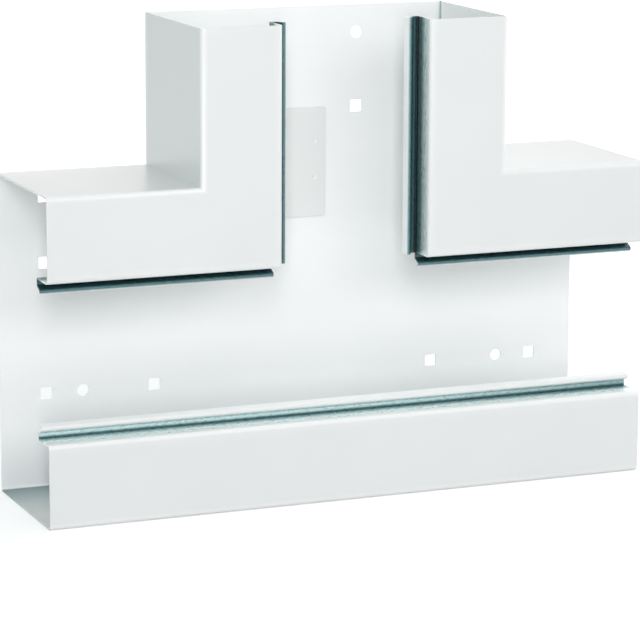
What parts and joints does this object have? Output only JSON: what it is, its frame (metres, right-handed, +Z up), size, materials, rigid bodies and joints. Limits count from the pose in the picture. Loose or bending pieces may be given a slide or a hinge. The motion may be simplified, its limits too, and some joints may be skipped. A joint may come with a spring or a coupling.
{
  "type": "trunking tee fitting",
  "caption": "Steel wall-trunking tee base: an open-fronted channel with an upward branch, L-shaped front corners, snap lips along the cover opening and a holed back plate.",
  "frame": {"origin": "centre of the bounding box at its bottom, on the underside of the bottom wall", "axes": "+X along the run, +Y from the open front to the back plate, +Z up along the branch"},
  "size_m": [0.333, 0.085, 0.2504],
  "materials": {
    "channel_paint": "white powder coat, semi-gloss, with the snap lip left as bare zinc",
    "panel_paint": "white powder coat, semi-gloss, with the snap lips left as bare zinc",
    "wall_paint": "white powder coat, semi-gloss",
    "plate_paint": "white powder coat, semi-gloss, over spot-weld dents"
  },
  "bodies": {
    "root": {"back_channel": "channel_paint", "left_corner_panel": "panel_paint", "right_corner_panel": "panel_paint", "left_branch_wall": "wall_paint", "right_branch_wall": "wall_paint", "junction_plate": "plate_paint"}
  },
  "joints": []
}
